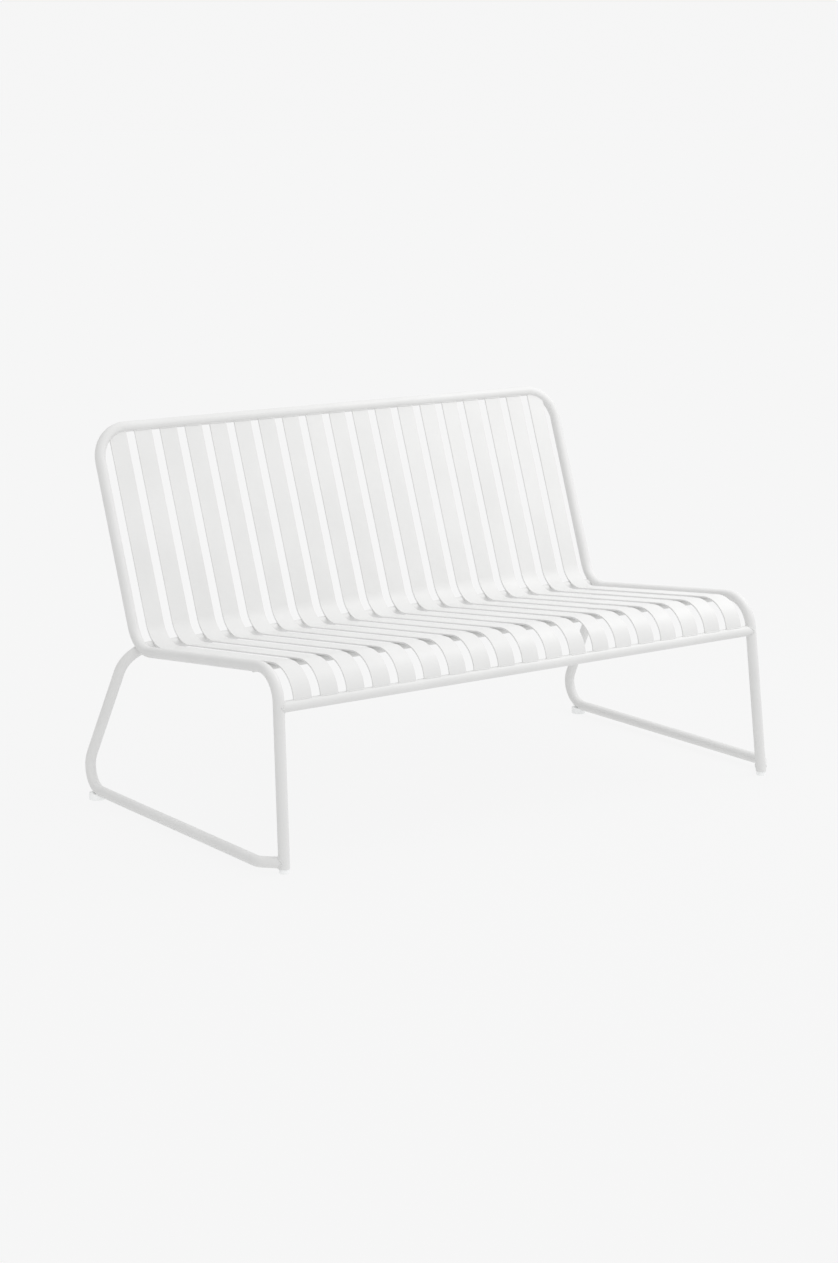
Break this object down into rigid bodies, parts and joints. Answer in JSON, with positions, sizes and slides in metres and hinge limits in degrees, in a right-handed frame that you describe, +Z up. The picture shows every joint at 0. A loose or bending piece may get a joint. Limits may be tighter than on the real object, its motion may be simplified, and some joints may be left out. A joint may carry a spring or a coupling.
{
  "type": "garden bench",
  "caption": "Garden bench of bent steel tube with flat-bar slats curved over seat and back, raised on two side runners with round plastic feet.",
  "frame": {"origin": "on the floor at the middle of the bench's width and depth", "axes": "+X along the bench, towards the sitter's left; +Y towards the back; +Z up"},
  "size_m": [1.31, 0.745, 0.77],
  "materials": {
    "tube_coat": "satin white powder coat on steel tube",
    "slat_coat": "satin white powder coat on flat steel bar",
    "foot_plastic": "pale moulded plastic"
  },
  "bodies": {
    "root": {"hoop_tube": "tube_coat", "base_tube": "tube_coat", "front_rail": "tube_coat", "front_cross_rail": "tube_coat", "slat_01": "slat_coat", "slat_02": "slat_coat", "slat_03": "slat_coat", "slat_04": "slat_coat", "slat_05": "slat_coat", "slat_06": "slat_coat", "slat_07": "slat_coat", "slat_08": "slat_coat", "slat_09": "slat_coat", "slat_10": "slat_coat", "slat_11": "slat_coat", "slat_12": "slat_coat", "slat_13": "slat_coat", "slat_14": "slat_coat", "slat_15": "slat_coat", "slat_16": "slat_coat", "slat_17": "slat_coat", "slat_18": "slat_coat", "slat_19": "slat_coat", "front_foot_left": "foot_plastic", "front_foot_right": "foot_plastic", "rear_foot_left": "foot_plastic", "rear_foot_right": "foot_plastic"}
  },
  "joints": []
}
